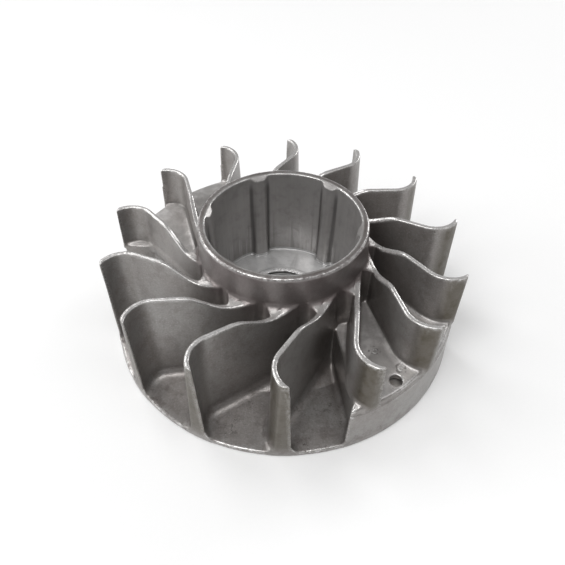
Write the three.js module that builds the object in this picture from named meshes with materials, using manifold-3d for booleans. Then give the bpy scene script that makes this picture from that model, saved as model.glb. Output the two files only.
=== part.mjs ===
// Fan flywheel of a small two-stroke engine: a die-cast aluminium wheel with a starter cup
// at its middle, hooked cooling vanes around it, a housing for the ignition magnet under
// three of the vanes and a counterweight opposite. A steel bush, the magnet and its pole
// shoes are cast in. Millimetres, +Z towards the mouth of the cup, origin on the crank axis
// at the underside. Azimuth 0 is +X and grows counter-clockwise seen from above.

import * as THREE from 'three';
import { mergeVertices } from 'three/addons/utils/BufferGeometryUtils.js';
import Module from 'manifold-3d';

const wasm = await Module();
wasm.setup();

// ---- driving dimensions --------------------------------------------------------------

const GAP = 0.3; // clearance between neighbouring solids

const DISC_RADIUS = 52.2;
const DISC_HEIGHT = 2.2;

const HUB_TOP = 38.5; // rim of the starter cup
const HUB_RADIUS_TOP = 24.3;
const HUB_RADIUS_FOOT = 25.6;
const HUB_CHAMFER = 0.8;
const CUP_RADIUS = 22.1;
const CUP_FLOOR = 7.8;

const RIB_COUNT = 6; // the starter pawls push on these
const RIB_AZIMUTH = -9.8;
const RIB_TIP_RADIUS = 19.9;
const RIB_BASE_WIDTH = 5.6;
const RIB_TIP_WIDTH = 3.4;

const SEAT_RING_RADIUS = 12.2; // raised ring around the crank nut
const SEAT_RING_HEIGHT = 0.6;
const SEAT_RADIUS = 10.2; // recess that the nut's washer sits in
const SEAT_LEVEL = 6.6;
const BACK_RECESS = { inner: 13.0, outer: 21.0, depth: 3.0 };

const BUSH_RADIUS = 9.0;
const BORE_RADIUS_TOP = 5.0; // taper for the crankshaft
const BORE_RADIUS_FOOT = 5.8;
const KEYWAY_WIDTH = 3.0;
const KEYWAY_DEPTH = 1.4;

const VANE_COUNT = 14;
const MAGNET_AZIMUTH = -39.3; // the first vane stands over the middle of the magnet
const NARROW_PITCH = 22.9; // between the first vane and the vanes on either side of it
const WIDE_PITCH = (360 - 2 * NARROW_PITCH) / (VANE_COUNT - 2);
const VANE_TOP = 32.1;
const VANE_TIP_RADIUS = 52.5;
const VANE_THICKNESS = 2.0;
const VANE_SLOPE = -34.2; // of the straight blade, against the radius through its tip
const BEND_START = [42.1, -1.6];
const BEND_RADIUS = 7.7;
const BEND_ANGLE = 88.0; // brings the bend round to the tip radius
const VANE_DIP = { start: 34.5, end: 28.6, level: 27.9, hubLevel: 29.3 };

const LEDGE_RADIUS = 51.8; // outer wall of the housing and the counterweight
const HOUSING_TOP = 16.6;
const COUNTERWEIGHT_TOP = 19.5;
const HOUSING_VANES = { clockwise: 14, counterClockwise: 2 }; // the vanes at its two ends
const COUNTERWEIGHT_VANES = { clockwise: 7, counterClockwise: 9 };

const MAGNET = { inner: 39.4, outer: 47.8, width: 12.0, height: 13.0 };
const POLE = { inner: 38.4, faceRadius: 50.2, width: 8.0, height: 14.0 };
const RIVET_RADIUS = 1.3;
const RIVET_LENGTH = 13.4;
const RIVET_STATIONS = [40.4, 44.0];
const LOCATOR_HOLE = { radius: 1.8, distance: 47.5 }; // where die pins held the pole shoes

const ROUND_STEPS = 64;

// ---- materials -----------------------------------------------------------------------

const castAluminium = new THREE.MeshStandardMaterial({
  color: 0x8f8d89, roughness: 0.52, metalness: 0.9,
});
const machinedAluminium = new THREE.MeshStandardMaterial({
  color: 0xb3b2ae, roughness: 0.35, metalness: 0.95,
});
const steel = new THREE.MeshStandardMaterial({
  color: 0x77787a, roughness: 0.38, metalness: 0.95,
});
const laminations = new THREE.MeshStandardMaterial({
  color: 0x54565a, roughness: 0.5, metalness: 0.9,
});
const magnetAlloy = new THREE.MeshStandardMaterial({
  color: 0x2d2e31, roughness: 0.6, metalness: 0.6,
});

// ---- solids --------------------------------------------------------------------------

const radians = (degrees) => THREE.MathUtils.degToRad(degrees);
const polar = (radius, azimuth) => new THREE.Vector2(
  radius * Math.cos(radians(azimuth)), radius * Math.sin(radians(azimuth)));

// Vanes are numbered from 1, over the magnet, counter-clockwise.
const vaneAzimuth = (number) => (number === 1 ? MAGNET_AZIMUTH
  : MAGNET_AZIMUTH + NARROW_PITCH + WIDE_PITCH * (number - 2));

function solidOf(geometry) {
  const bare = geometry.clone();
  bare.deleteAttribute('normal');
  bare.deleteAttribute('uv');
  const merged = mergeVertices(bare, 1e-4);
  return new wasm.Manifold(new wasm.Mesh({
    numProp: 3,
    vertProperties: new Float32Array(merged.attributes.position.array),
    triVerts: new Uint32Array(merged.index.array),
  }));
}

function geometryOf(solid) {
  const mesh = solid.getMesh();
  const geometry = new THREE.BufferGeometry();
  geometry.setAttribute('position', new THREE.BufferAttribute(mesh.vertProperties, 3));
  geometry.setIndex(new THREE.BufferAttribute(mesh.triVerts, 1));
  geometry.computeVertexNormals();
  return geometry;
}

// A body of revolution about Z from [radius, height] corners, listed counter-clockwise.
// A profile that leaves the axis closes on itself.
function revolved(corners, steps = ROUND_STEPS) {
  const touchesAxis = corners[0][0] === 0;
  const closed = touchesAxis ? corners : [...corners, corners[0]];
  const profile = closed.map(([radius, height]) => new THREE.Vector2(radius, height));
  return solidOf(new THREE.LatheGeometry(profile, steps).rotateX(Math.PI / 2));
}

function extruded(shape, bottom, top, curveSegments = 8) {
  const geometry = new THREE.ExtrudeGeometry(
    shape, { depth: top - bottom, bevelEnabled: false, curveSegments });
  return solidOf(geometry.translate(0, 0, bottom));
}

function pin(radius, position, bottom, top, steps = 20) {
  const geometry = new THREE.CylinderGeometry(radius, radius, top - bottom, steps);
  geometry.rotateX(Math.PI / 2).translate(position.x, position.y, (bottom + top) / 2);
  return solidOf(geometry);
}

const turned = (solid, azimuth) => solid.rotate([0, 0, azimuth]);

// ---- starter cup and hub -------------------------------------------------------------

const hubRadiusAt = (height) => THREE.MathUtils.mapLinear(
  height, 0, HUB_TOP, HUB_RADIUS_FOOT, HUB_RADIUS_TOP);

function cupOpeningShape() {
  const baseHalf = THREE.MathUtils.radToDeg(RIB_BASE_WIDTH / 2 / CUP_RADIUS);
  const tipHalf = THREE.MathUtils.radToDeg(RIB_TIP_WIDTH / 2 / RIB_TIP_RADIUS);
  const shape = new THREE.Shape();
  for (let rib = 0; rib < RIB_COUNT; rib += 1) {
    const azimuth = RIB_AZIMUTH + rib * 360 / RIB_COUNT;
    const next = azimuth + 360 / RIB_COUNT;
    const tipStart = polar(RIB_TIP_RADIUS, azimuth - tipHalf);
    const tipEnd = polar(RIB_TIP_RADIUS, azimuth + tipHalf);
    if (rib === 0) shape.moveTo(tipStart.x, tipStart.y);
    else shape.lineTo(tipStart.x, tipStart.y);
    shape.lineTo(tipEnd.x, tipEnd.y);
    shape.absarc(0, 0, CUP_RADIUS, radians(azimuth + baseHalf), radians(next - baseHalf), false);
  }
  shape.closePath();
  return shape;
}

function hubCup() {
  const foot = CUP_FLOOR + GAP;
  const wall = revolved([
    [0, foot],
    [hubRadiusAt(foot), foot],
    [HUB_RADIUS_TOP, HUB_TOP - HUB_CHAMFER],
    [HUB_RADIUS_TOP - HUB_CHAMFER / 2, HUB_TOP],
    [0, HUB_TOP],
  ]);
  return wall.subtract(extruded(cupOpeningShape(), foot - 1, HUB_TOP + 1));
}

function hubBase() {
  const boreRadius = BUSH_RADIUS + GAP;
  return revolved([
    [boreRadius, 0],
    [BACK_RECESS.inner, 0],
    [BACK_RECESS.inner, BACK_RECESS.depth],
    [BACK_RECESS.outer, BACK_RECESS.depth],
    [BACK_RECESS.outer, 0],
    [HUB_RADIUS_FOOT, 0],
    [hubRadiusAt(CUP_FLOOR), CUP_FLOOR],
    [SEAT_RING_RADIUS, CUP_FLOOR],
    [SEAT_RING_RADIUS, CUP_FLOOR + SEAT_RING_HEIGHT],
    [SEAT_RADIUS, CUP_FLOOR + SEAT_RING_HEIGHT],
    [SEAT_RADIUS, SEAT_LEVEL - GAP],
    [boreRadius, SEAT_LEVEL - GAP],
  ]);
}

function hubBush() {
  const sleeve = revolved([
    [BORE_RADIUS_FOOT, 0],
    [BUSH_RADIUS, 0],
    [BUSH_RADIUS, SEAT_LEVEL],
    [BORE_RADIUS_TOP, SEAT_LEVEL],
  ]);
  const keyway = new THREE.BoxGeometry(KEYWAY_DEPTH * 2, KEYWAY_WIDTH, SEAT_LEVEL * 2);
  keyway.translate(BORE_RADIUS_FOOT, 0, SEAT_LEVEL / 2);
  return sleeve.subtract(solidOf(keyway));
}

// ---- ledges that carry the magnet and balance it --------------------------------------

// The ends of a ledge are drawn beside the vane that stands there, in that vane's own
// axes: X through its tip, Y counter-clockwise.
const bladeOffsetAt = (x) => BEND_START[1]
  + (x - BEND_START[0]) * Math.tan(radians(VANE_SLOPE));
const CLOCKWISE_END_AT_HUB = [25.8, 3.3];
const COUNTER_CLOCKWISE_END = [
  [46.8, 0.4],
  [42.0, bladeOffsetAt(42.0) + 2.0],
  [24.4, bladeOffsetAt(24.4) + 2.0],
];
const RIM_CLOCKWISE = -7.1; // azimuths of the ends at the outer wall, from the vane's tip
const RIM_COUNTER_CLOCKWISE = 1.6;

function ledgeShape({ clockwise, counterClockwise }, innerRadius, outerRadius) {
  const startAzimuth = vaneAzimuth(clockwise);
  const endAzimuth = vaneAzimuth(counterClockwise);
  const origin = new THREE.Vector2();
  const place = ([x, y], azimuth) => new THREE.Vector2(x, y).rotateAround(origin, radians(azimuth));
  const startAtHub = place(CLOCKWISE_END_AT_HUB, startAzimuth);
  const inward = COUNTER_CLOCKWISE_END.map((corner) => place(corner, endAzimuth));
  const turn = (endAzimuth - startAzimuth + 360) % 360;
  const shape = new THREE.Shape();
  shape.absarc(0, 0, outerRadius, radians(startAzimuth + RIM_CLOCKWISE),
    radians(startAzimuth + turn + RIM_COUNTER_CLOCKWISE), false);
  for (const point of inward) shape.lineTo(point.x, point.y);
  shape.absarc(0, 0, innerRadius, inward[2].angle(), startAtHub.angle(), true);
  shape.lineTo(startAtHub.x, startAtHub.y);
  shape.closePath();
  return shape;
}

function ledge(vanes, bottom, top, outerRadius = LEDGE_RADIUS) {
  return extruded(ledgeShape(vanes, HUB_RADIUS_FOOT + GAP, outerRadius), bottom, top, 16);
}

function insertPocketShape(clearance) {
  const half = MAGNET.width / 2 + GAP + POLE.width + clearance;
  const faceRadius = POLE.faceRadius + clearance;
  const edge = Math.asin(half / faceRadius);
  const shape = new THREE.Shape();
  shape.absarc(0, 0, faceRadius, -edge, edge, false);
  shape.lineTo(POLE.inner - clearance, half);
  shape.lineTo(POLE.inner - clearance, -half);
  shape.closePath();
  return shape;
}

function insertPocket(top) {
  return turned(extruded(insertPocketShape(GAP), -1, top), MAGNET_AZIMUTH);
}

const poleSides = [-1, 1];
const poleMiddle = MAGNET.width / 2 + GAP + POLE.width / 2;

function magnetHousing() {
  let body = ledge(HOUSING_VANES, DISC_HEIGHT + GAP, HOUSING_TOP);
  body = body.subtract(insertPocket(POLE.height + GAP));
  for (const side of poleSides) {
    const place = new THREE.Vector2(LOCATOR_HOLE.distance, side * poleMiddle);
    const hole = pin(LOCATOR_HOLE.radius, place, POLE.height, HOUSING_TOP + 1);
    body = body.subtract(turned(hole, MAGNET_AZIMUTH));
  }
  return body;
}

function counterweight() {
  return ledge(COUNTERWEIGHT_VANES, DISC_HEIGHT + GAP, COUNTERWEIGHT_TOP);
}

function baseDisc() {
  const plate = revolved([
    [HUB_RADIUS_FOOT + GAP, 0],
    [DISC_RADIUS, 0],
    [DISC_RADIUS, DISC_HEIGHT],
    [HUB_RADIUS_FOOT + GAP, DISC_HEIGHT],
  ]);
  return plate.subtract(insertPocket(DISC_HEIGHT + 1));
}

// ---- cast-in magnet and pole shoes ------------------------------------------------------

function magnet() {
  const depth = MAGNET.outer - MAGNET.inner;
  const block = new THREE.BoxGeometry(depth, MAGNET.width, MAGNET.height);
  block.translate(MAGNET.inner + depth / 2, 0, MAGNET.height / 2);
  return turned(solidOf(block), MAGNET_AZIMUTH);
}

function poleShoe(side) {
  const near = side * (poleMiddle - POLE.width / 2);
  const far = side * (poleMiddle + POLE.width / 2);
  const [low, high] = side > 0 ? [near, far] : [far, near];
  const shape = new THREE.Shape();
  shape.absarc(0, 0, POLE.faceRadius, Math.asin(low / POLE.faceRadius),
    Math.asin(high / POLE.faceRadius), false);
  shape.lineTo(POLE.inner, high);
  shape.lineTo(POLE.inner, low);
  shape.closePath();
  let body = extruded(shape, 0, POLE.height);
  for (const station of RIVET_STATIONS) {
    const place = new THREE.Vector2(station, side * poleMiddle);
    body = body.subtract(pin(RIVET_RADIUS + GAP, place, -1, POLE.height + 1));
  }
  return turned(body, MAGNET_AZIMUTH);
}

function rivet(side, station) {
  const place = new THREE.Vector2(station, side * poleMiddle);
  return turned(pin(RIVET_RADIUS, place, 0, RIVET_LENGTH), MAGNET_AZIMUTH);
}

// ---- cooling vanes ----------------------------------------------------------------------

// Plan of a vane in its own axes: a straight blade from the hub that ends in a round bend
// towards counter-clockwise.
function vaneShape() {
  const half = VANE_THICKNESS / 2;
  const slope = radians(VANE_SLOPE);
  const normal = new THREE.Vector2(-Math.sin(slope), Math.cos(slope));
  const centre = new THREE.Vector2(...BEND_START).addScaledVector(normal, BEND_RADIUS);
  const rootX = HUB_RADIUS_FOOT - 4;
  const root = new THREE.Vector2(rootX, bladeOffsetAt(rootX));
  const startAngle = slope - Math.PI / 2;
  const endAngle = startAngle + radians(BEND_ANGLE);
  const outerRoot = root.clone().addScaledVector(normal, -half);
  const innerRoot = root.clone().addScaledVector(normal, half);
  const shape = new THREE.Shape();
  shape.absarc(centre.x, centre.y, BEND_RADIUS + half, startAngle, endAngle, false);
  shape.absarc(centre.x, centre.y, BEND_RADIUS - half, endAngle, startAngle, true);
  shape.lineTo(innerRoot.x, innerRoot.y);
  shape.lineTo(outerRoot.x, outerRoot.y);
  shape.closePath();
  return shape;
}

// Everything the vanes reach: their top edges dip towards the hub, and their outer edges
// lean in slightly towards the disc.
function fanEnvelope() {
  return revolved([
    [0, DISC_HEIGHT + GAP],
    [DISC_RADIUS, DISC_HEIGHT + GAP],
    [VANE_TIP_RADIUS, VANE_TOP],
    [VANE_DIP.start, VANE_TOP],
    [VANE_DIP.end, VANE_DIP.level],
    [HUB_RADIUS_TOP, VANE_DIP.hubLevel],
    [0, VANE_DIP.hubLevel],
  ]);
}

// The vanes over a ledge stand on its top, out to their tips.
function ledgeClearance(vanes, top) {
  return ledge(vanes, 0, top + GAP).add(ledge(vanes, 0, top + GAP, VANE_TIP_RADIUS + 1));
}

function hubClearance() {
  return revolved([
    [0, 0],
    [HUB_RADIUS_FOOT + GAP, 0],
    [HUB_RADIUS_TOP + GAP, HUB_TOP],
    [0, HUB_TOP],
  ]);
}

function vane(number, trims) {
  const blank = extruded(vaneShape(), 0, VANE_TOP + 1, 6);
  return turned(blank, vaneAzimuth(number)).intersect(trims.envelope).subtract(trims.keepOut);
}

// ---- assembly ---------------------------------------------------------------------------

const flywheel = new THREE.Group();

function addPart(name, solid, material) {
  const mesh = new THREE.Mesh(geometryOf(solid), material);
  mesh.name = name;
  flywheel.add(mesh);
}

addPart('base_disc', baseDisc(), castAluminium);
addPart('hub_base', hubBase(), machinedAluminium);
addPart('starter_cup', hubCup(), castAluminium);
addPart('magnet_housing', magnetHousing(), castAluminium);
addPart('counterweight', counterweight(), castAluminium);

const trims = {
  envelope: fanEnvelope(),
  keepOut: hubClearance()
    .add(ledgeClearance(HOUSING_VANES, HOUSING_TOP))
    .add(ledgeClearance(COUNTERWEIGHT_VANES, COUNTERWEIGHT_TOP)),
};
for (let number = 1; number <= VANE_COUNT; number += 1) {
  const label = String(number).padStart(2, '0');
  addPart(`vane_${label}`, vane(number, trims), castAluminium);
}

addPart('hub_bush', hubBush(), steel);
addPart('magnet', magnet(), magnetAlloy);
for (const side of poleSides) {
  const end = side > 0 ? 'trailing' : 'leading';
  addPart(`pole_shoe_${end}`, poleShoe(side), laminations);
  RIVET_STATIONS.forEach((station, index) => {
    addPart(`pole_rivet_${end}_${index + 1}`, rivet(side, station), steel);
  });
}

export default flywheel;
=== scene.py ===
"""Looks of the fan flywheel: one seamless die casting, with a steel bush, a magnet and two
laminated pole shoes set into it.

The casting is built as a signed distance field (millimetres, negative inside metal), so
that every wall runs into the next one through a fillet, as in a die casting, and is then
turned into a mesh. The frame is +Z towards the mouth of the starter cup, azimuth 0 at +X,
counter-clockwise seen from above.
"""

import math

import bmesh
import bpy
import numpy as np
import openvdb
from mathutils import Matrix, Vector


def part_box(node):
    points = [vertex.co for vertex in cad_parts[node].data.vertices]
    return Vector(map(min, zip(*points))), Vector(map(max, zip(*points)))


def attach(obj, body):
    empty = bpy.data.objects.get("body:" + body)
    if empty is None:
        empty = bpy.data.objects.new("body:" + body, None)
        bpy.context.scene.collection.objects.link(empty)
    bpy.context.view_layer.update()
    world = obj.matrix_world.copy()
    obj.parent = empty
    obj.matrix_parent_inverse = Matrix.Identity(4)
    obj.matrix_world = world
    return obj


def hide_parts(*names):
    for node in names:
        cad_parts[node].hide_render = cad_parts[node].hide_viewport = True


MM = 0.001

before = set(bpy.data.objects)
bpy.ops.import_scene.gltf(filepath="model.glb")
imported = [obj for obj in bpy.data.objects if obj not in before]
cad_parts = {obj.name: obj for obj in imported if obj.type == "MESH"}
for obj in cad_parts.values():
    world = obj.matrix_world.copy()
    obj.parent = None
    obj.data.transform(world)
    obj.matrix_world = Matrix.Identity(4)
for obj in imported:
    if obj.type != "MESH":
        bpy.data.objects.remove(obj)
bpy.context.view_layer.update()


def high(node, axis):
    """The highest coordinate of a CAD node along X, Y or Z, in millimetres."""
    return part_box(node)[1]["XYZ".index(axis)] / MM


# ---- sizes, in millimetres -----------------------------------------------------------

DISC_RADIUS = high("base_disc", "X")
HUB_TOP = high("starter_cup", "Z")
VANE_TOP = high("vane_10", "Z")
HOUSING_TOP = high("magnet_housing", "Z")
COUNTERWEIGHT_TOP = high("counterweight", "Z")
BUSH_RADIUS = high("hub_bush", "X")
SEAT_LEVEL = high("hub_bush", "Z")

VOXEL = 0.4
MARGIN = 1.2  # empty space kept around the casting
WELD_DISTANCE = 0.0001
BAND = 1.6  # distances further from the surface than this are not kept

HUB_RADIUS_TOP = 24.3
HUB_RADIUS_FOOT = 25.6
RIM_CHAMFER = 0.7
RIM_CHAMFER_SLOPE = 2.0
RIM_CHAMFER_NORMAL = 2.236  # length of the vector (slope, 1)
CUP_RADIUS = 22.1
CUP_DRAFT = 0.008
CUP_FLOOR = 7.8
RIB_COUNT = 6
RIB_AZIMUTH = -9.8
RIB_TIP_RADIUS = 19.9  # at the cup's floor
RIB_DRAFT = 1.15  # further out at the rim
RIB_BASE_WIDTH = 5.6
RIB_TIP_WIDTH = 3.4
RIB_TOP_DROP = 0.2  # the ribs start this far below the turned rim,
RIB_TOP_SLOPE = 1.0  # and their tops fall inwards
SEAT_RING_RADIUS = 12.2
SEAT_RING_TOP = 8.4
SEAT_RADIUS = 10.2
BACK_RECESS = {"inner": 13.0, "outer": 21.0, "depth": 3.0}
INSERT_GAP = 0.3  # between neighbouring inserts
POCKET_CLEARANCE = 0.2  # around the inserts
BUSH_CLEARANCE = 0.15
EJECTOR_MARKS = {"count": 6, "azimuth": 20.0, "distance": 34.0, "radius": 2.4, "depth": 0.5}

VANE_COUNT = 14
MAGNET_AZIMUTH = -39.3
NARROW_PITCH = 22.9
WIDE_PITCH = (360.0 - 2.0 * NARROW_PITCH) / (VANE_COUNT - 2)
VANE_TIP_RADIUS = 52.5
VANE_SLOPE = -34.2
BEND_START = (42.1, -1.6)
BEND_RADIUS = 7.7
BEND_ANGLE = 88.0
VANE_HALF_TOP = 0.68  # half the thickness of the top edge
VANE_DRAFT = 0.034
VANE_TIP_DRAFT = 0.012
VANE_SINK = 2.0  # how far a vane reaches into the ledge it stands on
VANE_SPREAD = 6.0  # a vane is worked out this far around itself
OUTLINE_DRAFT = 0.3  # everything is cut off at a radius that grows by this much up to the tips
TOP_LINE = ((20.0, 30.6), (24.6, 29.3), (27.2, 27.9), (28.8, 27.9), (34.5, VANE_TOP),
            (60.0, VANE_TOP))
TOP_ROUNDING = 1.4  # the top line's kinks are averaged over this far to each side
# The wedge runs between two azimuths at the hub out to a tip.
GUSSET = {"first": 14.3, "last": 24.8, "tip": 27.5, "tip_azimuth": 17.2, "root": 21.0}
GUSSET_DRAFT = 0.02

FLOOR_LINE = ((25.0, 5.8), (30.0, 4.2), (34.0, 3.0), (42.0, 2.3), (48.0, 1.8), (53.0, 1.5))
LEDGE_WALL_RADIUS = 51.3
LEDGE_WALL_DRAFT = 0.03
LEDGE_STEP = {"depth": 2.7, "out": 0.45}  # the wall stands out a little, this far down
LEDGE_FALL = {"from": 40.0, "slope": 0.09}  # the top falls outwards from this radius
VANES_ON_HOUSING = (14, 1, 2)  # clockwise end first
VANES_ON_COUNTERWEIGHT = (7, 8, 9)
# The ends of a ledge, beside its first and its last vane, in that vane's own axes.
CLOCKWISE_END = ((24.0, 3.9), (47.0, -3.4), (52.4, -8.4), (56.0, -12.0))
COUNTER_CLOCKWISE_END = ((56.5, 1.6), (46.8, 0.6))
LEDGE_MARGIN = 1.6  # from the last vane's centreline to the ledge's end
# How far the fillets between the casting's parts reach, and the rounding of its edges.
# The vanes' fillets go by height.
VANE_FILLETS = ((0.0, 3.0), (7.0, 3.0), (12.0, 1.4), (23.0, 1.4), (26.5, 1.1), (40.0, 1.1))
HUB_FILLET = 3.5
LEDGE_FILLET = 1.6
GUSSET_FILLET = 0.5
EDGE = {"disc": 0.8, "vane_tip": 0.5, "vane_top": 0.45, "outline": 0.4, "cup": 0.4,
        "seat": 0.3, "recess": 0.6, "ejector": 0.3, "pin_hole": 0.5, "underside": 0.7}
SEAT_SINK = 0.3  # the recess goes this far below the bush's top
PIN_HOLE_SINK = 0.1

MAGNET_WIDTH = 12.0
POLE_WIDTH = 8.0
POLE_INNER = 38.4
POLE_FACE_RADIUS = 50.2
POLE_HEIGHT = 14.0
PIN_HOLE_RADIUS = 1.6
PIN_HOLE_DISTANCE = 47.5
SHEET_THICKNESS = 0.5


# ---- distance field ------------------------------------------------------------------

def smooth_min(a, b, reach):
    blend = np.maximum(reach - np.abs(a - b), 0.0) / reach
    return np.minimum(a, b) - blend * blend * (reach * 0.25)


def smooth_max(a, b, reach):
    return -smooth_min(-a, -b, reach)


def axis_samples(low, top):
    count = int(math.ceil((top - low) / VOXEL)) + 1
    return (low + VOXEL * np.arange(count)).astype(np.float32)


SIDE = VANE_TIP_RADIUS + MARGIN
xs = axis_samples(-SIDE, SIDE)
ys = axis_samples(-SIDE, SIDE)
zs = axis_samples(-MARGIN, HUB_TOP + MARGIN)
ORIGIN = np.array([xs[0], ys[0], zs[0]])
X2, Y2 = np.meshgrid(xs, ys, indexing="ij")
R2 = np.hypot(X2, Y2)
Z = zs[None, None, :]
R = R2[:, :, None]


def vane_azimuth(number):
    if number == 1:
        return MAGNET_AZIMUTH
    return MAGNET_AZIMUTH + NARROW_PITCH + WIDE_PITCH * (number - 2)


def local_axes(azimuth):
    """Plan coordinates turned so that u points along the azimuth."""
    angle = math.radians(azimuth)
    u = X2 * math.cos(angle) + Y2 * math.sin(angle)
    v = -X2 * math.sin(angle) + Y2 * math.cos(angle)
    return u, v


def segment_distance(u, v, start, end):
    du, dv = end[0] - start[0], end[1] - start[1]
    along = ((u - start[0]) * du + (v - start[1]) * dv) / (du * du + dv * dv)
    along = np.clip(along, 0.0, 1.0)
    return np.hypot(u - start[0] - along * du, v - start[1] - along * dv)


def polygon_distance(u, v, corners):
    """Signed distance to a closed outline, negative inside."""
    distance = np.full(u.shape, 1e9, np.float32)
    inside = np.zeros(u.shape, bool)
    for (x0, y0), (x1, y1) in zip(corners, corners[1:] + corners[:1]):
        distance = np.minimum(distance, segment_distance(u, v, (x0, y0), (x1, y1)))
        if y0 != y1:
            crosses = (y0 > v) != (y1 > v)
            inside ^= crosses & (u < (x1 - x0) * (v - y0) / (y1 - y0) + x0)
    return np.where(inside, -distance, distance)


def blade_offset(u):
    return BEND_START[1] + (u - BEND_START[0]) * math.tan(math.radians(VANE_SLOPE))


def vane_centreline_distance(azimuth):
    u, v = local_axes(azimuth)
    slope = math.radians(VANE_SLOPE)
    normal = (-math.sin(slope), math.cos(slope))
    centre = (BEND_START[0] + BEND_RADIUS * normal[0],
              BEND_START[1] + BEND_RADIUS * normal[1])
    root = HUB_RADIUS_FOOT - 5.0
    straight = segment_distance(u, v, (root, blade_offset(root)), BEND_START)
    first = slope - math.pi / 2.0
    last = first + math.radians(BEND_ANGLE)
    turn = np.arctan2(v - centre[1], u - centre[0])
    on_bend = (turn >= first) & (turn <= last)
    ring = np.abs(np.hypot(u - centre[0], v - centre[1]) - BEND_RADIUS)
    end = (centre[0] + BEND_RADIUS * math.cos(last), centre[1] + BEND_RADIUS * math.sin(last))
    bend = np.where(on_bend, ring, np.hypot(u - end[0], v - end[1]))
    return np.minimum(straight, bend)


def gusset_distance(azimuth):
    """The wedge that fills the sharp corner between a blade and the hub."""
    u, v = local_axes(azimuth)

    def at(radius, turn):
        return (radius * math.cos(math.radians(turn)), radius * math.sin(math.radians(turn)))

    tip_u = GUSSET["tip"] * math.cos(math.radians(GUSSET["tip_azimuth"]))
    corners = [at(GUSSET["root"], GUSSET["first"]), at(HUB_RADIUS_TOP, GUSSET["first"]),
               (tip_u, blade_offset(tip_u)), at(HUB_RADIUS_TOP, GUSSET["last"]),
               at(GUSSET["root"], GUSSET["last"])]
    return polygon_distance(u, v, corners)


def ledge_outline(vanes):
    start, end = vane_azimuth(vanes[0]), vane_azimuth(vanes[-1])
    turn = (end - start) % 360.0

    def place(point, azimuth):
        angle = math.radians(azimuth)
        return (point[0] * math.cos(angle) - point[1] * math.sin(angle),
                point[0] * math.sin(angle) + point[1] * math.cos(angle))

    middle = start + 0.5 * turn
    outer = [place((70.0, 0.0), azimuth)
             for azimuth in np.linspace(middle - 14.0, middle + 14.0, 5)]
    blade = [(u, blade_offset(u) + LEDGE_MARGIN) for u in (42.0, 23.0)]
    inward = [place(corner, end) for corner in (*COUNTER_CLOCKWISE_END, *blade)]
    hub = [place((18.0, 0.0), azimuth) for azimuth in (end + 20.0, middle + 8.0, start + 8.0)]
    return outer + inward + hub + [place(corner, start) for corner in CLOCKWISE_END]


def ledge(vanes, top):
    sides = polygon_distance(X2, Y2, ledge_outline(vanes))[:, :, None] + 0.03 * (Z - top)
    depth = top - Z
    step = LEDGE_STEP["out"] * np.clip((depth - LEDGE_STEP["depth"]) / 0.5 + 0.5, 0.0, 1.0)
    wall = R - (LEDGE_WALL_RADIUS + LEDGE_WALL_DRAFT * depth + step)
    fall = LEDGE_FALL["slope"] * np.maximum(R - LEDGE_FALL["from"], 0.0)
    return smooth_max(smooth_max(wall, fall - depth, 1.0), sides, 0.9)


def cup_opening(tip_radius):
    opening = R2 - CUP_RADIUS
    for rib in range(RIB_COUNT):
        u, v = local_axes(RIB_AZIMUTH + rib * 360.0 / RIB_COUNT)
        share = (u - tip_radius) / (CUP_RADIUS - tip_radius)
        half = 0.5 * (RIB_TIP_WIDTH + (RIB_BASE_WIDTH - RIB_TIP_WIDTH) * share)
        flank = (np.abs(v) - half) * 0.76
        solid = smooth_max(flank, tip_radius - np.hypot(u, v), 0.7)
        solid = np.where(u > 0.0, solid, 10.0)
        opening = smooth_max(opening, -solid, 0.8)
    return opening


def wheel_body():
    """The disc with its floor, the hub, the housing and the counterweight."""
    line = np.array(FLOOR_LINE)
    floor_height = np.interp(R2, line[:, 0], line[:, 1])[:, :, None]
    disc = smooth_max(Z - floor_height, R - DISC_RADIUS, EDGE["disc"])
    hub_radius = HUB_RADIUS_FOOT + (HUB_RADIUS_TOP - HUB_RADIUS_FOOT) * Z / HUB_TOP
    hub = np.maximum(R - hub_radius, Z - HUB_TOP)
    chamfer = (R - HUB_RADIUS_TOP) * RIM_CHAMFER_SLOPE + (Z - HUB_TOP) + RIM_CHAMFER
    hub = np.maximum(hub, chamfer / RIM_CHAMFER_NORMAL)
    body = smooth_min(disc, hub, HUB_FILLET)
    body = smooth_min(body, ledge(VANES_ON_HOUSING, HOUSING_TOP), LEDGE_FILLET)
    return smooth_min(body, ledge(VANES_ON_COUNTERWEIGHT, COUNTERWEIGHT_TOP), LEDGE_FILLET)


def vane_top_height():
    radius, height = np.array(TOP_LINE).T
    return np.mean([np.interp(R2 + shift, radius, height)
                    for shift in np.linspace(-TOP_ROUNDING, TOP_ROUNDING, 9)],
                   axis=0)[:, :, None]


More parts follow.
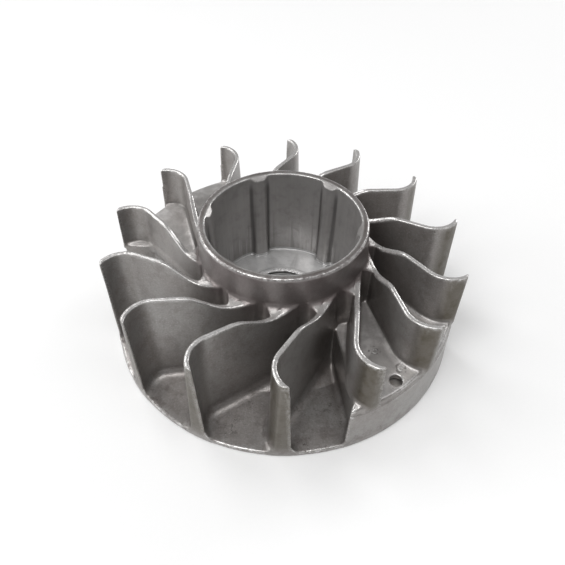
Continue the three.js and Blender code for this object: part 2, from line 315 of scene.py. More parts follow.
def with_vanes(body):
    top = vane_top_height()
    depth = VANE_TOP - Z
    reach = VANE_TIP_RADIUS - VANE_TIP_DRAFT * depth
    fillet = np.interp(zs, *np.array(VANE_FILLETS).T)[None, None, :]
    foot = {number: HOUSING_TOP for number in VANES_ON_HOUSING}
    foot.update({number: COUNTERWEIGHT_TOP for number in VANES_ON_COUNTERWEIGHT})
    for number in range(1, VANE_COUNT + 1):
        azimuth = vane_azimuth(number)
        blade = vane_centreline_distance(azimuth)
        wedge = gusset_distance(azimuth)
        near = np.argwhere(np.minimum(blade, wedge) < VANE_SPREAD)
        (i0, j0), (i1, j1) = near.min(0), near.max(0) + 1
        part = np.s_[i0:i1, j0:j1]
        wall = blade[part][:, :, None] - (VANE_HALF_TOP + VANE_DRAFT * depth)
        root = wedge[part][:, :, None] - GUSSET_DRAFT * depth
        vane = smooth_min(wall, root, GUSSET_FILLET)
        vane = smooth_max(vane, R[part] - reach, EDGE["vane_tip"])
        vane = smooth_max(vane, Z - top[part], EDGE["vane_top"])
        if number in foot:  # it stands on a ledge
            vane = np.maximum(vane, foot[number] - VANE_SINK - Z)
        body[part] = smooth_min(body[part], vane, fillet)
    return smooth_max(body, R - (DISC_RADIUS + OUTLINE_DRAFT * Z / VANE_TOP), EDGE["outline"])


def with_cup(body):
    """Cuts the cup out around its ribs, and sets the ring and the seat on its floor."""
    foot_opening = cup_opening(RIB_TIP_RADIUS)[:, :, None]
    rim_opening = cup_opening(RIB_TIP_RADIUS + RIB_DRAFT)[:, :, None]
    share = (Z - CUP_FLOOR) / (HUB_TOP - CUP_FLOOR)
    cavity = foot_opening + (rim_opening - foot_opening) * share + CUP_DRAFT * (HUB_TOP - Z)
    cavity = np.maximum(cavity, CUP_FLOOR - Z)
    rib_top = HUB_TOP - RIB_TOP_DROP - RIB_TOP_SLOPE * (CUP_RADIUS - R)
    above_ribs = np.maximum(R - CUP_RADIUS, (rib_top - Z) / math.hypot(1.0, RIB_TOP_SLOPE))
    body = smooth_max(body, -np.minimum(cavity, above_ribs), EDGE["cup"])
    ring = np.maximum(R - SEAT_RING_RADIUS, Z - SEAT_RING_TOP)
    body = np.minimum(body, np.maximum(ring, -Z))
    seat = np.maximum(R - SEAT_RADIUS, SEAT_LEVEL - SEAT_SINK - Z)
    return smooth_max(body, -seat, EDGE["seat"])


def with_back(body):
    """Cuts the recess around the hub and the ejector marks into the back."""
    recess = np.maximum(np.maximum(BACK_RECESS["inner"] - R, R - BACK_RECESS["outer"]),
                        Z - BACK_RECESS["depth"])
    body = smooth_max(body, -recess, EDGE["recess"])
    for mark in range(EJECTOR_MARKS["count"]):
        u, v = local_axes(EJECTOR_MARKS["azimuth"] + mark * 360.0 / EJECTOR_MARKS["count"])
        dent = np.hypot(u - EJECTOR_MARKS["distance"], v) - EJECTOR_MARKS["radius"]
        dent = np.maximum(dent[:, :, None], Z - EJECTOR_MARKS["depth"])
        body = smooth_max(body, -dent, EDGE["ejector"])
    return body


def with_insert_pocket(body):
    """Cuts out the room for the magnet and its pole shoes, and the pin holes above it."""
    u, v = local_axes(MAGNET_AZIMUTH)
    half = 0.5 * MAGNET_WIDTH + INSERT_GAP + POLE_WIDTH + POCKET_CLEARANCE
    pocket = np.maximum(np.maximum(np.abs(v) - half, POLE_INNER - POCKET_CLEARANCE - u),
                        R2 - POLE_FACE_RADIUS - POCKET_CLEARANCE)[:, :, None]
    body = np.maximum(body, -np.maximum(pocket, Z - POLE_HEIGHT - POCKET_CLEARANCE))
    across = 0.5 * (MAGNET_WIDTH + POLE_WIDTH) + INSERT_GAP
    for side in (-1.0, 1.0):
        hole = np.hypot(u - PIN_HOLE_DISTANCE, v - side * across) - PIN_HOLE_RADIUS
        hole = np.maximum(hole[:, :, None], POLE_HEIGHT - PIN_HOLE_SINK - Z)
        body = smooth_max(body, -hole, EDGE["pin_hole"])
    return body


def casting_field():
    body = with_cup(with_vanes(wheel_body()))
    body = np.maximum(body, BUSH_RADIUS + BUSH_CLEARANCE - R)
    body = with_insert_pocket(with_back(body))
    return smooth_max(body, -Z, EDGE["underside"])


def mesh_of(field, name):
    grid = openvdb.FloatGrid(BAND)
    grid.copyFromArray(np.clip(field, -BAND, BAND).astype(np.float32))
    points, _, quads = grid.convertToPolygons(isovalue=0.0, adaptivity=0.0)
    points = (np.array(points) * VOXEL + ORIGIN) * MM
    mesh = bpy.data.meshes.new(name)
    mesh.from_pydata(points.tolist(), [], np.array(quads).tolist())
    obj = bpy.data.objects.new(name, mesh)
    bpy.context.scene.collection.objects.link(obj)
    return obj


def sample(field, points):
    """Trilinear values of a field at points in millimetres."""
    place = np.clip((points - ORIGIN) / VOXEL, 0.0, np.array(field.shape) - 1.001)
    low = place.astype(int)
    part = place - low
    value = np.zeros(len(points))
    for corner in np.ndindex(2, 2, 2):
        weight = np.prod(np.where(corner, part, 1.0 - part), axis=1)
        cell = low + corner
        value += weight * field[cell[:, 0], cell[:, 1], cell[:, 2]]
    return value


def blurred(field, times):
    """The field averaged with its neighbours, again and again."""
    for _ in range(times):
        for axis in range(3):
            middle = field
            field = 0.5 * middle
            field += 0.25 * np.roll(middle, 1, axis)
            field += 0.25 * np.roll(middle, -1, axis)
    return field


def bulge(field):
    """How far the surface bulges: positive on edges, negative in corners, 0 on flats."""
    soft = blurred(field, 1)
    return blurred(soft, 3) - soft


def vertex_points(mesh):
    flat = np.empty(len(mesh.vertices) * 3)
    mesh.vertices.foreach_get("co", flat)
    return flat.reshape(-1, 3) / MM


def thin_out(obj, most_faces):
    """Collapses edges where the surface is flat, down to a number of triangles."""
    modifier = obj.modifiers.new("thin_out", "DECIMATE")
    modifier.ratio = most_faces / (2.0 * len(obj.data.polygons))
    modifier.use_collapse_triangulate = True
    evaluated = obj.evaluated_get(bpy.context.evaluated_depsgraph_get())
    mesh = bpy.data.meshes.new_from_object(evaluated)
    obj.modifiers.clear()
    obj.data = mesh


def drop_folds(mesh):
    """Deletes faces whose corners all lie where another face's do, as thinning can leave,
    and joins the surface up again where they were."""
    edit = bmesh.new()
    edit.from_mesh(mesh)
    alike = {}
    for face in edit.faces:
        corners = frozenset(vertex.co.to_tuple() for vertex in face.verts)
        alike.setdefault(corners, []).append(face)
    folds = [face for faces in alike.values() if len(faces) > 1 for face in faces]
    bmesh.ops.delete(edit, geom=folds, context="FACES")
    bmesh.ops.remove_doubles(edit, verts=edit.verts, dist=WELD_DISTANCE * MM)
    edit.to_mesh(mesh)
    edit.free()


def slope(field, points):
    """Unit vectors straight out of the surface."""
    step = 0.5 * VOXEL
    normals = np.empty_like(points)
    for axis in range(3):
        shift = np.zeros(3)
        shift[axis] = step
        normals[:, axis] = sample(field, points + shift) - sample(field, points - shift)
    return normals / np.maximum(np.linalg.norm(normals, axis=1, keepdims=True), 1e-9)


def store(mesh, name, values):
    mesh.attributes.new(name, "FLOAT", "POINT").data.foreach_set("value", values)


# ---- materials -------------------------------------------------------------------------

class Graph:
    """A material's nodes, added one at a time. An input is a value or another node's
    output."""

    def __init__(self, name):
        self.material = bpy.data.materials.new(name)
        self.material.use_nodes = True
        self.tree = self.material.node_tree
        self.tree.nodes.clear()
        self.place = self.add("ShaderNodeTexCoord").outputs["Object"]
        x, y, z = self.add("ShaderNodeSeparateXYZ", Vector=self.place).outputs
        self.radius = self.math("SQRT", self.math("ADD", self.math("MULTIPLY", x, x),
                                                  self.math("MULTIPLY", y, y)))
        self.height = z
        self.turn = self.math("ARCTAN2", y, x)

    def add(self, kind, settings=None, **inputs):
        node = self.tree.nodes.new(kind)
        for name, value in (settings or {}).items():
            setattr(node, name, value)
        for name, value in inputs.items():
            self.feed(node.inputs[name.replace("_", " ")], value)
        return node

    def feed(self, socket, value):
        if isinstance(value, bpy.types.NodeSocket):
            self.tree.links.new(value, socket)
        elif isinstance(value, tuple) and len(value) == 3 and socket.type == "RGBA":
            socket.default_value = (*value, 1.0)
        else:
            socket.default_value = value

    def math(self, operation, *values):
        node = self.tree.nodes.new("ShaderNodeMath")
        node.operation = operation
        for socket, value in zip(node.inputs, values):
            self.feed(socket, value)
        return node.outputs[0]

    def ramp(self, value, low, high, to_low=0.0, to_high=1.0):
        """A smooth step from to_low at low to to_high at high."""
        node = self.add("ShaderNodeMapRange", {"interpolation_type": "SMOOTHSTEP"})
        for name, number in (("Value", value), ("From Min", low), ("From Max", high),
                             ("To Min", to_low), ("To Max", to_high)):
            self.feed(node.inputs[name], number)
        return node.outputs[0]

    def ramp_mm(self, value, low, high, to_low=0.0, to_high=1.0):
        """A ramp of a length, whose two places are in millimetres."""
        return self.ramp(value, low * MM, high * MM, to_low, to_high)

    def both(self, *masks):
        """Where every mask is 1."""
        result = masks[0]
        for mask in masks[1:]:
            result = self.math("MULTIPLY", result, mask)
        return result

    def attribute(self, name):
        return self.add("ShaderNodeAttribute", {"attribute_name": name}).outputs["Fac"]

    def noise(self, size, detail=2.0, roughness=0.5, vector=None):
        """Noise whose blotches are about size millimetres across, from 0 to 1."""
        return self.add("ShaderNodeTexNoise", Vector=vector or self.place,
                        Scale=1.0 / (size * MM), Detail=detail,
                        Roughness=roughness).outputs["Fac"]

    def ring_mark(self, distance, azimuth, radius, width):
        """1 on a thin, broken ring about an upright axis at a distance (mm) and azimuth."""
        centre = [distance * math.cos(math.radians(azimuth)) * MM,
                  distance * math.sin(math.radians(azimuth)) * MM, 0.0]
        offset = self.add("ShaderNodeVectorMath", {"operation": "MULTIPLY_ADD"}).inputs
        self.feed(offset[0], self.place)
        offset[1].default_value = (1.0, 1.0, 0.0)
        offset[2].default_value = [-value for value in centre]
        flat = offset[0].node.outputs[0]
        away = self.add("ShaderNodeVectorMath", {"operation": "LENGTH"})
        self.feed(away.inputs[0], flat)
        gap = self.math("ABSOLUTE", self.math("SUBTRACT", away.outputs["Value"], radius * MM))
        return self.math("MULTIPLY", self.ramp(gap, width * MM, 0.5 * width * MM),
                         self.ramp(self.noise(0.9, 2.0), 0.47, 0.54))

    def blend(self, share, first, second):
        node = self.add("ShaderNodeMix", {"data_type": "RGBA"})
        self.feed(node.inputs[0], share)
        self.feed(node.inputs[6], first)
        self.feed(node.inputs[7], second)
        return node.outputs[2]

    def mix(self, share, first, second):
        node = self.add("ShaderNodeMix", {"data_type": "FLOAT"})
        for socket, value in zip(node.inputs, (share, first, second)):
            self.feed(socket, value)
        return node.outputs[0]

    def bump(self, height, distance, normal=None):
        """Height from 0 to 1 stands for this many millimetres."""
        node = self.add("ShaderNodeBump", Height=height)
        node.inputs["Strength"].default_value = 1.0
        node.inputs["Distance"].default_value = distance * MM
        if normal is not None:
            self.feed(node.inputs["Normal"], normal)
        return node.outputs[0]

    def finish(self, colour, metallic, roughness, normal):
        shader = self.add("ShaderNodeBsdfPrincipled")
        self.feed(shader.inputs["Base Color"], colour)
        self.feed(shader.inputs["Metallic"], metallic)
        self.feed(shader.inputs["Roughness"], roughness)
        self.feed(shader.inputs["Normal"], normal)
        output = self.add("ShaderNodeOutputMaterial")
        self.tree.links.new(shader.outputs[0], output.inputs[0])
        return self.material


# The casting's colours, linear. Where there are two, they are the ends of a blend.
BLASTED = ((0.280, 0.262, 0.251), (0.298, 0.287, 0.277))
MOTTLE_DARK = (0.200, 0.183, 0.173)
GRAIN_LIGHT = (0.46, 0.45, 0.44)
GRAIN_DARK = (0.15, 0.138, 0.130)
CUP_WALL = ((0.30, 0.287, 0.28), (0.39, 0.377, 0.37))
CUP_STAIN = (0.22, 0.211, 0.205)
# Painted shade in the crease beside each rib of the cup.
RIB_CREASE_SHADE = (0.10, 0.095, 0.095)
TURNED_FLOOR = ((0.58, 0.58, 0.58), (0.82, 0.82, 0.82))
FLOOR_SHEEN = (0.86, 0.86, 0.86)
TURNED_BACK = ((0.45, 0.44, 0.43), (0.62, 0.61, 0.60))
TURNED_RIM = ((0.27, 0.255, 0.248), (0.35, 0.34, 0.33))
# Painted shadow on the seat's step.
SEAT_STEP_SHADOW = (0.10, 0.10, 0.10)
# Painted highlight on the lip around the seat.
SEAT_LIP_HIGHLIGHT = (0.97, 0.97, 0.97)
# Painted shade where there is little open air in front of the surface.
SHELTERED_SHADE = (0.115, 0.098, 0.090)
HUB_SKIN = (0.135, 0.112, 0.110)
TIP_SKIN = (0.085, 0.073, 0.053)
# Painted light on what faces up: the gussets' tops painted lighter.
GUSSET_TOP_LIGHT = ((0.29, 0.275, 0.266), (0.44, 0.425, 0.415))
# Painted highlight along the vanes' top edges.
VANE_TOP_HIGHLIGHT = ((0.36, 0.345, 0.335), (0.58, 0.565, 0.555))
# Painted light on the ledges' tops, stronger in the hooks' shade; a painted highlight at the rim.
LEDGE_TOP_LIGHT = ((0.47, 0.452, 0.44), (0.80, 0.775, 0.76))
LEDGE_RIM_HIGHLIGHT = (0.85, 0.83, 0.82)
# A painted glint on the housing's marks, with a darker halo around it.
MARK_HALO = (0.12, 0.11, 0.105)
MARK_GLINT = (0.85, 0.84, 0.83)
# Painted shade in the corners.
CORNER_SHADE = (0.11, 0.102, 0.096)
# Scuffed edges, and a painted highlight where they face up.
EDGE_WEAR_AND_HIGHLIGHT = (0.66, 0.65, 0.64)
PIT = (0.09, 0.078, 0.072)
FLOW_SMEAR = (0.15, 0.128, 0.122)

# Two marks on the housing's top, painted as a glint: distance and azimuth, then radius and
# width of the glint's bright ring and of the darker halo around it.
HOUSING_MARKS = (((38.5, -49.0), (0.7, 0.3), (1.3, 0.6)), ((46.9, -47.2), (0.6, 0.35), (1.2, 0.6)))


def blasted_skin(g, patches, mottle, grain):
    colour = g.blend(g.ramp(patches, 0.38, 0.62), *BLASTED)
    colour = g.blend(g.ramp(mottle, 0.44, 0.66, 0.0, 0.5), colour, MOTTLE_DARK)
    colour = g.blend(g.ramp(grain, 0.50, 0.78, 0.0, 0.45), colour, GRAIN_LIGHT)
    return g.blend(g.ramp(grain, 0.48, 0.22, 0.0, 0.45), colour, GRAIN_DARK)


def cup_wall(g, mottle):
    """Cleaner than the outside and marked by the draw of the core, with painted shade beside the
    ribs.
    """
    around = g.add("ShaderNodeCombineXYZ", X=g.math("MULTIPLY", g.turn, 22.0 * MM),
                   Y=g.math("MULTIPLY", g.height, 0.04)).outputs[0]
    colour = g.blend(g.noise(0.9, 3.0, 0.6, around), *CUP_WALL)
    colour = g.blend(g.ramp(mottle, 0.45, 0.75, 0.0, 0.5), colour, CUP_STAIN)
    rib_pitch = 2.0 * math.pi / RIB_COUNT
    from_rib = g.math("ABSOLUTE", g.math("WRAP", g.math(
        "SUBTRACT", g.turn, math.radians(RIB_AZIMUTH)), rib_pitch / 2.0, -rib_pitch / 2.0))
    foot = g.math("ABSOLUTE", g.math("SUBTRACT", from_rib, 0.5 * RIB_BASE_WIDTH / CUP_RADIUS))
    # Painted shade in the crease along each rib's foot, below the rim.
    crease_shade = g.both(g.ramp(foot, 0.035, 0.008, 0.0, 0.75),
                    g.ramp_mm(g.height, HUB_TOP - 1.0, HUB_TOP - 5.0))
    return g.blend(crease_shade, colour, RIB_CREASE_SHADE)


def turned_faces(g, colour, inside, rings):
    """The floor of the cup, the rim and the ring on the back are turned. Also returns where."""
    floor_mask = g.both(g.ramp_mm(g.height, CUP_FLOOR + 0.9, CUP_FLOOR + 0.7), inside)
    rim_mask = g.ramp_mm(g.height, HUB_TOP - 0.16, HUB_TOP - 0.04)
    back_mask = g.both(g.ramp_mm(g.height, 0.25, 0.1), g.ramp_mm(g.radius, 13.2, 12.9))
    turned = g.math("MAXIMUM", g.math("MAXIMUM", floor_mask, rim_mask), back_mask)
    floor_colour = g.blend(g.ramp(g.noise(5.0, 4.0, 0.65), 0.42, 0.62, 0.0, 0.6),
                           g.blend(rings, *TURNED_FLOOR), FLOOR_SHEEN)
    colour = g.blend(floor_mask, colour, floor_colour)
    colour = g.blend(back_mask, colour, g.blend(rings, *TURNED_BACK))
    # Painted shadow on the wall of the step down into the seat.
    step = g.both(g.ramp_mm(g.radius, SEAT_RADIUS - 0.5, SEAT_RADIUS),
                  g.ramp_mm(g.radius, SEAT_RADIUS + 0.6, SEAT_RADIUS + 0.2),
                  g.ramp_mm(g.height, 7.3, 7.6))
    colour = g.blend(g.both(step, floor_mask), colour, SEAT_STEP_SHADOW)
    # Painted highlight on the lip around the seat.
    lip = g.both(g.ramp_mm(g.radius, SEAT_RADIUS + 0.2, SEAT_RADIUS + 0.4),
                 g.ramp_mm(g.radius, SEAT_RADIUS + 1.1, SEAT_RADIUS + 0.9))
    colour = g.blend(g.both(lip, floor_mask), colour, SEAT_LIP_HIGHLIGHT)
    return g.blend(rim_mask, colour, g.blend(rings, *TURNED_RIM)), turned


def shade_and_dark_skin(g, colour, inside, open_air, patches, mottle):
    """Painted shade, dark and brown, where there is little open air in front of the surface outside
    the cup; and the skin is darker and browner on the outside of the hub and of the vanes' tips."""
    # Painted shade where there is little open air in front of the surface.
    sheltered_shade = g.both(g.ramp(open_air, 0.8, 0.25, 0.0, 0.84), g.math("SUBTRACT", 1.0, inside),
                       g.ramp(mottle, 0.3, 0.65, 1.0, 0.7),
                       g.ramp_mm(g.radius, 38.0, 46.0, 1.0, 0.3))
    colour = g.blend(sheltered_shade, colour, SHELTERED_SHADE)
    hub_skin = g.both(g.ramp_mm(g.radius, 23.0, 23.6), g.ramp_mm(g.radius, 27.0, 26.0),
                      g.ramp_mm(g.height, 24.0, 29.0), g.ramp(patches, 0.35, 0.6, 0.85, 0.6))
    colour = g.blend(hub_skin, colour, HUB_SKIN)
    tip_skin = g.both(g.ramp(mottle, 0.3, 0.65, 1.0, 0.75), g.attribute("tip"))
    return g.blend(tip_skin, colour, TIP_SKIN)


def upward_faces(g, colour, upward, tops, open_air, mottle, grain):
    """Painted light from above on what faces up: the gussets, the vanes' top edges, and the
    tops of the housing and the counterweight. Also returns the marks' painted glint."""
    flat = g.ramp(upward, 0.8, 0.92)
    gussets = g.both(flat, g.ramp_mm(g.height, 26.6, 27.2), g.ramp_mm(g.radius, 30.0, 28.0),
                     g.ramp_mm(g.height, 31.0, 30.0))
    # The gussets' tops are painted lighter, as light from above.
    colour = g.blend(gussets, colour, g.blend(grain, *GUSSET_TOP_LIGHT))
    # Painted highlight along the vanes' top edges.
    colour = g.blend(g.math("MULTIPLY", tops, 0.8), colour, g.blend(mottle, *VANE_TOP_HIGHLIGHT))
    ledge_tops = g.both(flat, g.ramp_mm(g.height, 13.5, 14.2), g.ramp_mm(g.height, 21.5, 20.8))
    # Painted light on the ledge tops, stronger in the hooks' shade; painted highlight at the rim.
    ledge_light = g.blend(g.ramp(open_air, 0.6, 0.3), *LEDGE_TOP_LIGHT)
    ledge_light = g.blend(g.ramp_mm(g.radius, 43.0, 48.0, 0.0, 0.6), ledge_light, LEDGE_RIM_HIGHLIGHT)
    colour = g.blend(g.both(ledge_tops, g.ramp(mottle, 0.3, 0.6, 0.8, 0.45)), colour,
                     ledge_light)
    # The marks are a painted glint: a bright broken ring, and a darker halo around it.
    bright, halo = (g.both(ledge_tops, g.math("MAXIMUM", *(
        g.ring_mark(*mark[0], *mark[ring]) for mark in HOUSING_MARKS))) for ring in (1, 2))
    colour = g.blend(g.math("MULTIPLY", halo, 0.7), colour, MARK_HALO)
    return g.blend(bright, colour, MARK_GLINT), bright


def edges_and_corners(g, colour, roughness, upward, tops):
    """Edges are scuffed bright and smooth, with a painted highlight facing up; corners get painted
    shade.
    """
    bulging = g.attribute("bulge")
    # Scuffed edges, with a painted highlight where they face up.
    edge = g.both(g.ramp(bulging, 0.07, 0.15), g.ramp(g.noise(0.9, 4.0, 0.7), 0.4, 0.58, 0.15, 1.0),
                  g.ramp(upward, 0.05, 0.45, 0.25, 1.0),
                  g.math("SUBTRACT", 1.0, g.math("MULTIPLY", tops, 0.25)))
    # Painted shade in the corners, where the surface bends inwards.
    corner = g.ramp(bulging, -0.02, -0.12)
    colour = g.blend(g.math("MULTIPLY", corner, 0.5), colour, CORNER_SHADE)
    colour = g.blend(edge, colour, EDGE_WEAR_AND_HIGHLIGHT)
    return colour, g.mix(edge, g.mix(corner, roughness, 0.72), 0.32)


def pits_and_smears(g, colour):
    """Dark pits and flow marks, mostly low down on the floor. Also returns the pits."""
    low = g.ramp_mm(g.height, 6.0, 3.5)
    pits = g.both(g.ramp(g.noise(0.7, 3.0, 0.7), 0.56, 0.68), g.ramp(g.noise(7.0, 2.0), 0.50, 0.62),
                  low)
    colour = g.blend(g.math("MULTIPLY", pits, 0.75), colour, PIT)
    smear = g.both(g.ramp(g.noise(3.5, 5.0, 0.75), 0.48, 0.64, 0.0, 0.55), low)
    return g.blend(smear, colour, FLOW_SMEAR), pits


def casting_material():
    g = Graph("die_cast_aluminium")
    patches = g.noise(16.0, 3.0)
    mottle = g.noise(3.2, 4.0, 0.6)
    grain = g.noise(0.5, 3.0, 0.65)
    rings = g.noise(0.35, 3.0, 0.7, g.add("ShaderNodeCombineXYZ", X=g.radius).outputs[0])
    open_air = g.attribute("open_air")
    upward = g.add("ShaderNodeSeparateXYZ",
                   Vector=g.add("ShaderNodeTexCoord").outputs["Normal"]).outputs["Z"]
    inside = g.both(g.ramp_mm(g.radius, 22.9, 22.5), g.ramp_mm(g.height, 5.0, 6.0))
    tops = g.both(g.ramp(upward, 0.35, 0.7), g.ramp_mm(g.height, 26.6, 27.2),
                  g.ramp_mm(g.radius, 28.0, 30.0))

    colour = blasted_skin(g, patches, mottle, grain)
    colour = g.blend(inside, colour, cup_wall(g, mottle))
    colour, turned = turned_faces(g, colour, inside, rings)
    roughness = g.mix(turned, g.ramp(mottle, 0.3, 0.7, 0.45, 0.6), 0.42)
    colour = shade_and_dark_skin(g, colour, inside, open_air, patches, mottle)
    colour, marks = upward_faces(g, colour, upward, tops, open_air, mottle, grain)
    colour, roughness = edges_and_corners(g, colour, roughness, upward, tops)
    colour, pits = pits_and_smears(g, colour)

    normal = g.bump(grain, 0.05, g.bump(mottle, 0.10))
    normal = g.bump(g.math("MULTIPLY", rings, turned), 0.02, normal)
    normal = g.bump(marks, 0.15, normal)
    normal = g.bump(g.math("MULTIPLY", pits, -1.0), 0.08, normal)
    return g.finish(colour, 0.55, roughness, normal)


def turned_steel():
    g = Graph("turned_steel")
    across = g.add("ShaderNodeCombineXYZ", X=g.radius,
                   Y=g.math("MULTIPLY", g.height, 0.9)).outputs[0]
    rings = g.noise(0.25, 3.0, 0.7, across)
    stain = g.noise(2.5, 4.0, 0.6)
    colour = g.blend(rings, (0.46, 0.445, 0.43), (0.60, 0.585, 0.57))
    colour = g.blend(g.ramp(stain, 0.5, 0.75, 0.0, 0.5), colour, (0.30, 0.27, 0.24))
    roughness = g.ramp(stain, 0.3, 0.7, 0.26, 0.42)
    return g.finish(colour, 1.0, roughness, g.bump(stain, 0.03, g.bump(rings, 0.02)))


def magnet_alloy():
    g = Graph("magnet_alloy")
    grain = g.noise(0.35, 4.0, 0.7)
    blotch = g.noise(3.0, 3.0, 0.6)
    colour = g.blend(blotch, (0.105, 0.105, 0.11), (0.17, 0.168, 0.168))
    colour = g.blend(g.ramp(grain, 0.55, 0.75, 0.0, 0.6), colour, (0.27, 0.265, 0.26))
    roughness = g.ramp(grain, 0.3, 0.7, 0.5, 0.72)
    return g.finish(colour, 0.55, roughness, g.bump(grain, 0.06, g.bump(blotch, 0.08)))


def laminations():
    """Sheets 0.5 mm thick, stacked along Z, with a dark seam between each two."""
    g = Graph("laminations")
    wander = g.math("MULTIPLY", g.noise(4.0, 2.0), 0.12 * MM)
    level = g.math("DIVIDE", g.math("ADD", g.height, wander), SHEET_THICKNESS * MM)
    place = g.math("FRACT", level)
    seam = g.math("ABSOLUTE", g.math("SUBTRACT", place, 0.5))
    sheet = g.add("ShaderNodeTexWhiteNoise", {"noise_dimensions": "1D"},
                  W=g.math("FLOOR", level)).outputs["Value"]
    stain = g.noise(2.0, 4.0, 0.65)
    upright = g.add("ShaderNodeSeparateXYZ",
                    Vector=g.add("ShaderNodeTexCoord").outputs["Normal"]).outputs["Z"]
    on_side = g.ramp(g.math("ABSOLUTE", upright), 0.8, 0.5)
    gap = g.math("MULTIPLY", g.ramp(seam, 0.36, 0.46), on_side)
    colour = g.blend(sheet, (0.36, 0.345, 0.33), (0.50, 0.485, 0.47))
    colour = g.blend(g.ramp(stain, 0.5, 0.72, 0.0, 0.65), colour, (0.26, 0.20, 0.155))
    colour = g.blend(gap, colour, (0.07, 0.062, 0.055))
    roughness = g.ramp(stain, 0.3, 0.7, 0.34, 0.52)
    normal = g.bump(g.math("MULTIPLY", gap, -1.0), 0.08, g.bump(stain, 0.03))
    return g.finish(colour, 0.9, roughness, normal)


def peened_steel():
    g = Graph("peened_steel")
    dents = g.noise(0.8, 3.0, 0.6)
    stain = g.noise(1.6, 4.0, 0.65)
    colour = g.blend(stain, (0.50, 0.485, 0.465), (0.36, 0.335, 0.31))
    colour = g.blend(g.ramp(dents, 0.58, 0.75), colour, (0.66, 0.65, 0.64))
    return g.finish(colour, 1.0, g.ramp(dents, 0.3, 0.7, 0.3, 0.48), g.bump(dents, 0.08))


# ---- inserts -----------------------------------------------------------------------------

def dress(material, *nodes):
    """Gives CAD nodes a material, in every slot they have."""
    for node in nodes:
        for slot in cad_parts[node].material_slots:
            slot.material = material


dress(turned_steel(), "hub_bush")
dress(magnet_alloy(), "magnet")
dress(laminations(), "pole_shoe_leading", "pole_shoe_trailing")
dress(peened_steel(), *(f"pole_rivet_{side}_{number}" for side in ("leading", "trailing")
                        for number in (1, 2)))


# ---- casting ---------------------------------------------------------------------------

CAST_NODES = ["base_disc", "hub_base", "starter_cup", "magnet_housing", "counterweight"] + [
    f"vane_{number:02d}" for number in range(1, VANE_COUNT + 1)]
MOST_FACES = 196000

field = casting_field().astype(np.float32)
casting = mesh_of(field, "wheel_casting")
thin_out(casting, MOST_FACES)
drop_folds(casting.data)
points = vertex_points(casting.data)
outward = slope(field, points)
store(casting.data, "bulge", sample(bulge(field), points))
# How much room there is in front of the surface, from 0 to 1.
store(casting.data, "open_air", np.mean([
    np.clip(sample(field, points + outward * reach) / reach, 0.0, 1.0)
    for reach in (3.0, 6.0, 9.0)], axis=0))
# 1 on the outside of the vanes' bends.
radii = np.hypot(points[:, 0], points[:, 1])
facing = np.sum(outward[:, :2] * points[:, :2], axis=1) / radii
ledges = np.minimum(ledge(VANES_ON_HOUSING, HOUSING_TOP),
                    ledge(VANES_ON_COUNTERWEIGHT, COUNTERWEIGHT_TOP))
store(casting.data, "tip", np.clip((radii - 44.0) / 3.0, 0.0, 1.0)
      * np.clip(facing / 0.35, 0.0, 1.0)
      * np.clip((points[:, 2] - 2.0) / 3.0, 0.0, 1.0)
      * np.clip(sample(ledges, points) - 0.3, 0.0, 1.0))
# Normals come from the field's own slope, which the thinned mesh can't give.
casting.data.shade_smooth()
casting.data.normals_split_custom_set_from_vertices(outward.tolist())
casting.data.materials.clear()
casting.data.materials.append(casting_material())
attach(casting, "root")
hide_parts(*CAST_NODES)


# ---- floor, light and camera ---------------------------------------------------------

def floor_material():
    g = Graph("paper_floor")
    fibre = g.noise(0.8, 3.0)
    colour = g.blend(fibre, (0.86, 0.86, 0.86), (0.88, 0.88, 0.88))
    return g.finish(colour, 0.0, 0.9, g.bump(fibre, 0.02))


floor_mesh = bpy.data.meshes.new("floor")
FLOOR_HALF = 3.0
FLOOR_DROP = 0.05 * MM  # keeps it clear of the casting's flat underside
floor_mesh.from_pydata([(x * FLOOR_HALF, y * FLOOR_HALF, -FLOOR_DROP) for x, y in
                        ((-1, -1), (1, -1), (1, 1), (-1, 1))], [], [(0, 1, 2, 3)])
floor_mesh.materials.append(floor_material())
floor = bpy.data.objects.new("floor", floor_mesh)
bpy.context.scene.collection.objects.link(floor)

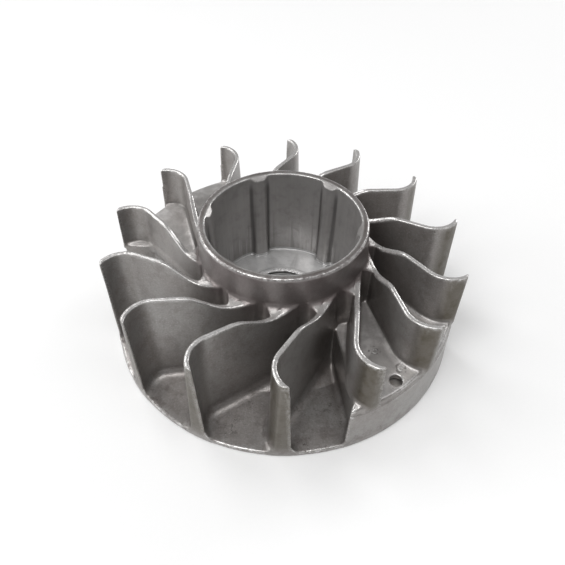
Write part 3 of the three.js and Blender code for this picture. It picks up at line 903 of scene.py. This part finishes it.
world = bpy.data.worlds.new("studio")
world.use_nodes = True
world.node_tree.nodes["Background"].inputs["Color"].default_value = (1.0, 1.0, 1.0, 1.0)
world.node_tree.nodes["Background"].inputs["Strength"].default_value = 0.27
bpy.context.scene.world = world


LIGHT_SIZE = 0.45  # metres, as are the distance and the place that the lights point at
LIGHT_DISTANCE = 1.0
LIGHT_AIM = (0.0, 0.0, 0.015)


def area_light(name, place, power):
    light = bpy.data.lights.new(name, "AREA")
    light.shape = "SQUARE"
    light.size = LIGHT_SIZE
    light.energy = power
    lamp = bpy.data.objects.new(name, light)
    direction = Vector(place) - Vector(LIGHT_AIM)
    turned = direction.to_track_quat("Z", "Y").to_matrix().to_4x4()
    lamp.matrix_world = Matrix.Translation(place) @ turned
    bpy.context.scene.collection.objects.link(lamp)


def towards(azimuth, elevation):
    turn, rise = math.radians(azimuth), math.radians(elevation)
    return (LIGHT_DISTANCE * math.cos(rise) * math.cos(turn),
            LIGHT_DISTANCE * math.cos(rise) * math.sin(turn), LIGHT_DISTANCE * math.sin(rise))


for name, azimuth, elevation, watts in (
        ("key", 270.0, 70.0, 3.0), ("left", 225.0, 48.0, 3.5), ("left_low", 180.0, 20.0, 2.5),
        ("back_left", 135.0, 48.0, 2.5), ("back_right", 45.0, 20.0, 3.1),
        ("right", 335.0, 45.0, 1.0)):
    area_light(name, towards(azimuth, elevation), watts)

CAMERA_PLACE = Vector((0.0, -130.534, 145.050)) * MM
CAMERA_TARGET = Vector((-5.185, -2.960, 15.0)) * MM
CAMERA_ROLL = -0.89
camera_data = bpy.data.cameras.new("camera")
camera_data.sensor_width = 36.0
camera_data.lens = 37.862
camera_data.shift_x = 0.0303
camera_data.shift_y = 0.0048
camera_data.clip_start = 0.01
camera = bpy.data.objects.new("camera", camera_data)
looking = (CAMERA_PLACE - CAMERA_TARGET).to_track_quat("Z", "Y").to_matrix().to_4x4()
camera.matrix_world = Matrix.Translation(CAMERA_PLACE) @ looking @ Matrix.Rotation(
    math.radians(CAMERA_ROLL), 4, "Z")
bpy.context.scene.collection.objects.link(camera)
bpy.context.scene.camera = camera
bpy.context.scene.view_settings.view_transform = "Standard"
